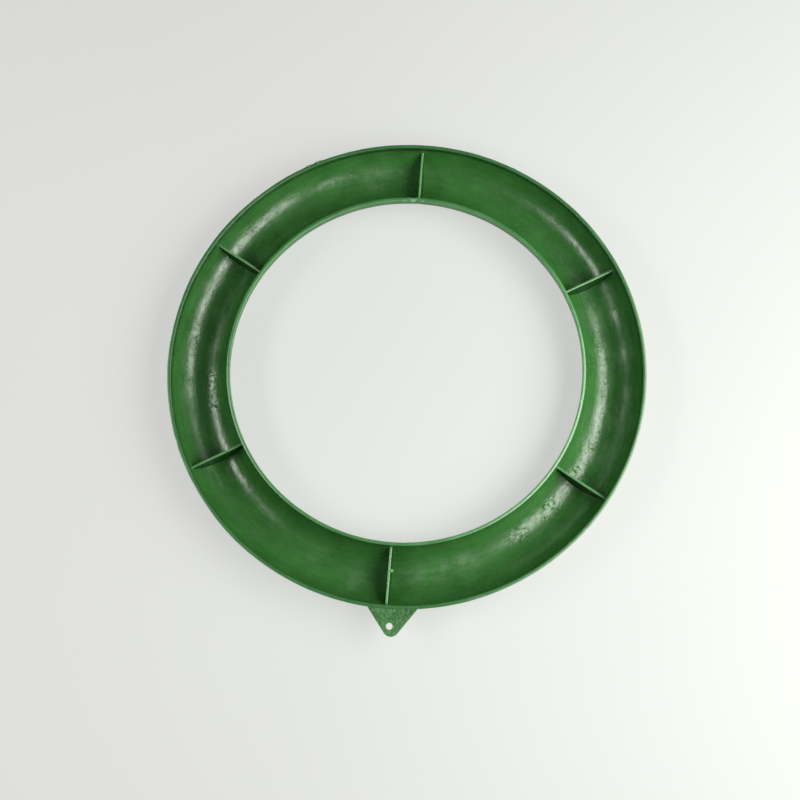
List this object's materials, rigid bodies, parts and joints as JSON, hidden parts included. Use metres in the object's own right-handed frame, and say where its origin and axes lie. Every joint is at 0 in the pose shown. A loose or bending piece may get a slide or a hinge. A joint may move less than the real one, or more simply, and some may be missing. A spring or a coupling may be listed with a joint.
{
  "type": "wreath frame",
  "caption": "Half-round ring trough of moulded green plastic, open at the back, with thin rims, radial cross webs and a pierced hanging tab, for building a wreath on its round front.",
  "frame": {"origin": "on the ring's axis, at the height of the circle where the crown of the half-round channel rests on a table", "axes": "+Z along the ring's axis towards the open back; -Y towards the first rib and the hanging tab beside it; +X completes a right-handed frame"},
  "size_m": [0.3, 0.316, 0.0218],
  "materials": {
    "green_plastic": "satin moulded polyethylene, mid green, with soft mottling, fine pitting in the trough and paler worn edges"
  },
  "bodies": {
    "root": {"channel": "green_plastic", "outer_rim": "green_plastic", "inner_rim": "green_plastic", "rib_1": "green_plastic", "rib_2": "green_plastic", "rib_3": "green_plastic", "rib_4": "green_plastic", "rib_5": "green_plastic", "rib_6": "green_plastic", "hanging_tab": "green_plastic"}
  },
  "joints": []
}
